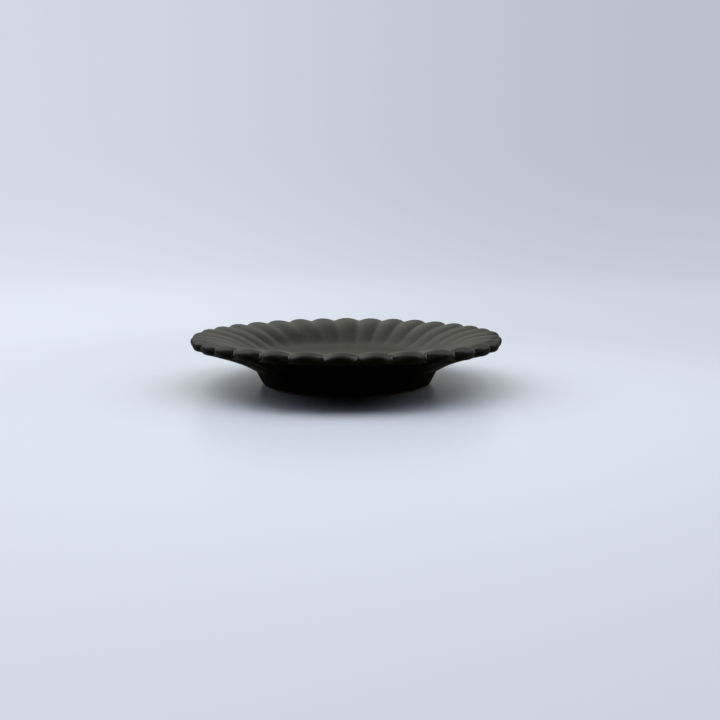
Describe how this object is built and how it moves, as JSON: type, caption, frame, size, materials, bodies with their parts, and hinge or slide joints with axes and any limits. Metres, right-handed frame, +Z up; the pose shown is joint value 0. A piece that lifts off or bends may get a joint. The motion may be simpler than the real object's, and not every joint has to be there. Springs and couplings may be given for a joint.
{
  "type": "dessert plate",
  "caption": "Round stoneware dessert plate: flat floor, sloping wall of rounded petals with a scalloped lip, on a raised foot ring that tapers to the table, in satin black glaze.",
  "frame": {"origin": "centre of the foot ring's standing face, at table height", "axes": "+Z up along the plate's axis, +X along a petal's crest"},
  "size_m": [0.16, 0.16, 0.0266],
  "materials": {
    "dish_glaze": "satin black glaze on stoneware",
    "foot_glaze": "satin black glaze, wiped off to the bare clay on the standing edge",
    "slip": "fired slip under thin glaze"
  },
  "bodies": {
    "root": {"dish": "dish_glaze", "foot_ring": "foot_glaze", "slip_seam": "slip"}
  },
  "joints": []
}
